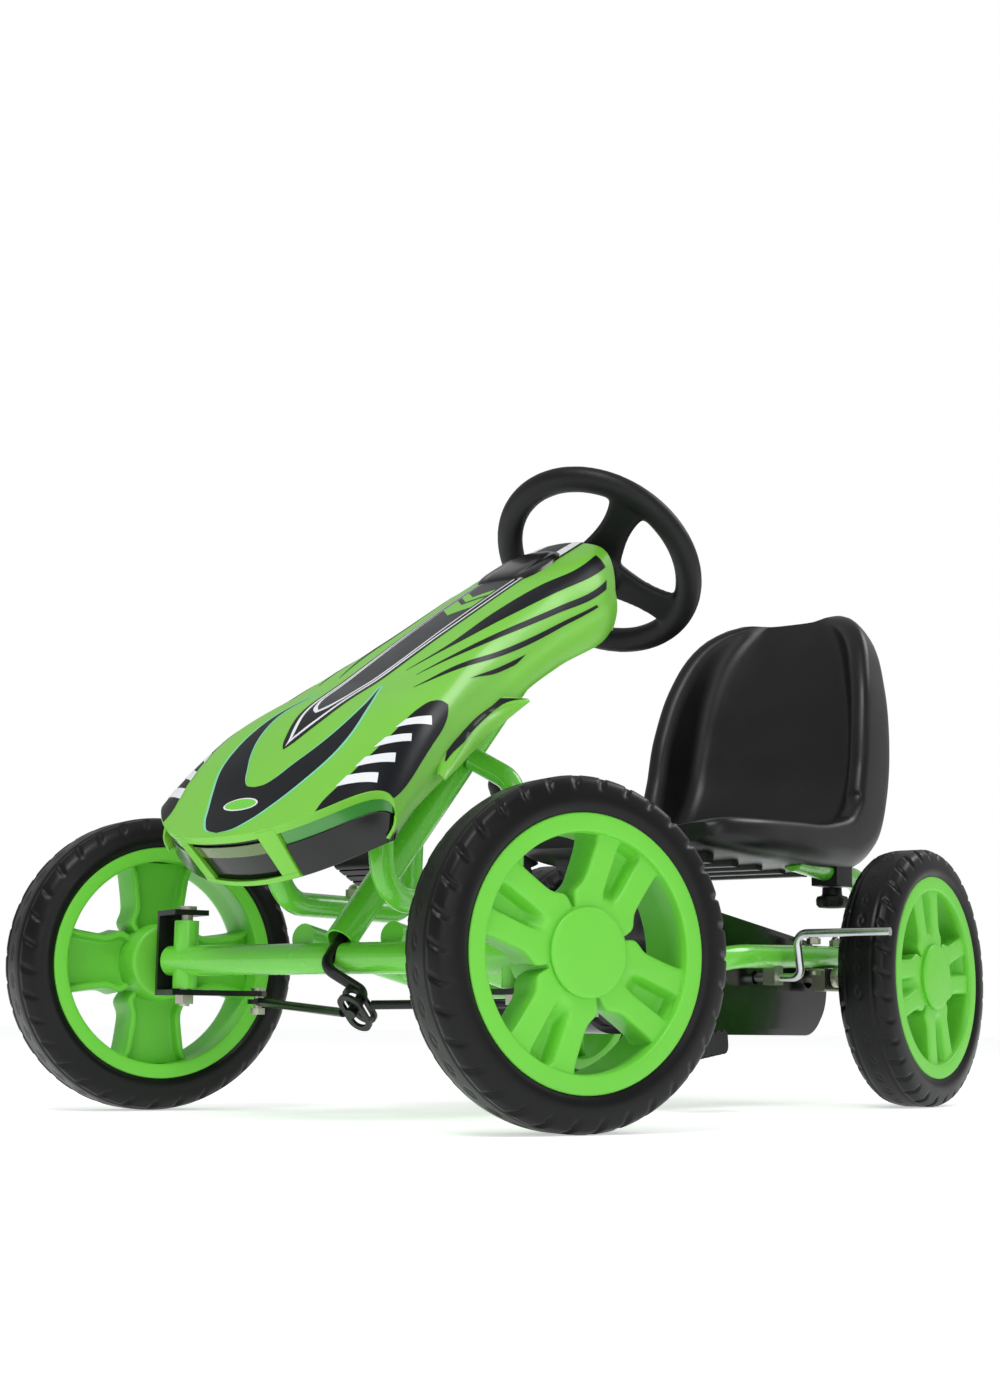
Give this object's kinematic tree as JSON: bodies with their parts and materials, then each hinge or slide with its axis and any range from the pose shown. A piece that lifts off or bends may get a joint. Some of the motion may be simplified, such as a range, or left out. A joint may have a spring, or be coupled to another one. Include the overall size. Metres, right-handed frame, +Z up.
{
  "type": "pedal go kart",
  "caption": "Child's pedal go kart with a bent tube frame, moulded hood, bucket seat, linked steering, chain drive in a case and foam tyred spoked wheels.",
  "frame": {"origin": "on the ground, midway between the two axles, on the centre plane", "axes": "+X forward, +Y to the driver's left, +Z up"},
  "size_m": [1.0825, 0.6862, 0.6708],
  "materials": {
    "wheel_plastic": "satin moulded",
    "tyre": "moulded foam with a soft sheen",
    "hood_plastic": "glossy blow-moulded",
    "black_gloss": "gloss",
    "green_paint": "powder coat, satin gloss",
    "black_paint": "powder coat",
    "zinc_steel": "zinc plated",
    "chrome": "bright",
    "rubber": "matt grip",
    "seat_plastic": "satin blow-moulded",
    "black_plastic": "satin"
  },
  "bodies": {
    "frame": {"front_beam": "green_paint", "side_rail_left": "green_paint", "side_rail_right": "green_paint", "front_loop_left": "green_paint", "front_loop_right": "green_paint", "axle_bearing_left": "black_plastic", "axle_bearing_right": "black_plastic", "axle_straps": "zinc_steel", "frame_bolts": "zinc_steel", "column_tube": "green_paint", "column_bushes": "black_plastic", "hood_support": "green_paint", "cross_tubes": "green_paint", "bottom_bracket": "green_paint", "crank_bushes": "black_plastic", "chain": "zinc_steel", "chain_case_outer": "black_gloss", "chain_case_inner": "black_gloss", "brake_saddles": "zinc_steel", "hood_shell": "hood_plastic", "hood_scoop": "black_gloss", "hood_wing_left": "hood_plastic", "hood_wing_right": "hood_plastic"},
    "steering": {"steering_rod": "black_paint", "steering_wheel": "black_plastic", "wheel_screw": "zinc_steel"},
    "knuckle_left": {"knuckle_left": "black_paint", "kingpin_left": "zinc_steel"},
    "tie_rod_left": {"tie_rod_left": "black_paint"},
    "front_wheel_left": {"front_rim_left": "wheel_plastic", "front_tyre_left": "tyre", "front_hub_cap_left": "wheel_plastic"},
    "knuckle_right": {"knuckle_right": "black_paint", "kingpin_right": "zinc_steel"},
    "tie_rod_right": {"tie_rod_right": "black_paint"},
    "front_wheel_right": {"front_rim_right": "wheel_plastic", "front_tyre_right": "tyre", "front_hub_cap_right": "wheel_plastic"},
    "rear_axle": {"rear_axle": "zinc_steel", "rear_sprocket": "zinc_steel", "rear_rim_left": "wheel_plastic", "rear_tyre_left": "tyre", "rear_hub_cap_left": "wheel_plastic"},
    "rear_wheel_right": {"rear_rim_right": "wheel_plastic", "rear_tyre_right": "tyre", "rear_hub_cap_right": "wheel_plastic"},
    "crank": {"crankset": "black_paint", "chainring": "zinc_steel"},
    "pedal_left": {"pedal_left": "black_plastic"},
    "pedal_right": {"pedal_right": "black_plastic"},
    "seat": {"seat_shell": "seat_plastic", "seat_clamps": "black_plastic"},
    "seat_knob_left": {"seat_knob_left": "black_plastic"},
    "seat_knob_right": {"seat_knob_right": "black_plastic"},
    "brake": {"brake_bar": "chrome", "brake_lever": "chrome", "brake_grip": "rubber"}
  },
  "joints": [
    {"name": "steering_turn", "type": "hinge", "parent": "frame", "child": "steering", "pos_m": [-0.068, 0, 0.583], "axis": [-0.7034, 0, 0.7108], "range_deg": [-5, 91]},
    {"name": "knuckle_left_turn", "type": "hinge", "parent": "frame", "child": "knuckle_left", "pos_m": [0.3545, 0.1878, 0.14], "axis": [0, 0, 1], "range_deg": [-3, 49.5]},
    {"name": "tie_rod_left_swing", "type": "hinge", "parent": "knuckle_left", "child": "tie_rod_left", "pos_m": [0.28557, 0.21735, 0.103], "axis": [0, 0, 1], "range_deg": [-49.5, 3]},
    {"name": "front_wheel_left_spin", "type": "hinge", "parent": "knuckle_left", "child": "front_wheel_left", "pos_m": [0.3545, 0.1878, 0.14], "axis": [0.3939, 0.9191, 0], "continuous": true},
    {"name": "knuckle_right_turn", "type": "hinge", "parent": "frame", "child": "knuckle_right", "pos_m": [0.3545, -0.1878, 0.14], "axis": [0, 0, 1], "range_deg": [-3, 49.5]},
    {"name": "tie_rod_right_swing", "type": "hinge", "parent": "knuckle_right", "child": "tie_rod_right", "pos_m": [0.28557, -0.15825, 0.103], "axis": [0, 0, 1], "range_deg": [-49.5, 3]},
    {"name": "front_wheel_right_spin", "type": "hinge", "parent": "knuckle_right", "child": "front_wheel_right", "pos_m": [0.3545, -0.1878, 0.14], "axis": [0.3939, 0.9191, 0], "continuous": true},
    {"name": "rear_axle_spin", "type": "hinge", "parent": "frame", "child": "rear_axle", "pos_m": [-0.3545, 0, 0.14], "axis": [0, 1, 0], "continuous": true},
    {"name": "rear_wheel_right_spin", "type": "hinge", "parent": "rear_axle", "child": "rear_wheel_right", "pos_m": [-0.3545, -0.23, 0.14], "axis": [0, 1, 0], "continuous": true},
    {"name": "crank_spin", "type": "hinge", "parent": "frame", "child": "crank", "pos_m": [0.06, 0, 0.152], "axis": [0, 1, 0], "continuous": true},
    {"name": "pedal_left_spin", "type": "hinge", "parent": "crank", "child": "pedal_left", "pos_m": [-0.01695, 0.142, 0.06654], "axis": [0, 1, 0], "continuous": true},
    {"name": "pedal_right_spin", "type": "hinge", "parent": "crank", "child": "pedal_right", "pos_m": [0.13695, -0.142, 0.23746], "axis": [0, 1, 0], "continuous": true},
    {"name": "seat_slide", "type": "slide", "parent": "frame", "child": "seat", "axis": [0.9975, 0, 0.0701], "range_m": [-0.02, 0.06]},
    {"name": "seat_knob_left_turn", "type": "hinge", "parent": "seat", "child": "seat_knob_left", "pos_m": [-0.375, 0.125, 0.24], "axis": [0, 0, 1], "range_deg": [-360, 0]},
    {"name": "seat_knob_right_turn", "type": "hinge", "parent": "seat", "child": "seat_knob_right", "pos_m": [-0.375, -0.125, 0.24], "axis": [0, 0, 1], "range_deg": [-360, 0]},
    {"name": "brake_pull", "type": "hinge", "parent": "frame", "child": "brake", "pos_m": [-0.226, 0, 0.137], "axis": [0, -1, 0], "range_deg": [0, 9.5]}
  ],
  "couplings": [
    {"joint": "knuckle_left_turn", "follows": "steering_turn", "ratio": 0.54},
    {"joint": "tie_rod_left_swing", "follows": "steering_turn", "ratio": -0.54},
    {"joint": "knuckle_right_turn", "follows": "steering_turn", "ratio": 0.54},
    {"joint": "tie_rod_right_swing", "follows": "steering_turn", "ratio": -0.54},
    {"joint": "crank_spin", "follows": "rear_axle_spin", "ratio": 0.5}
  ]
}
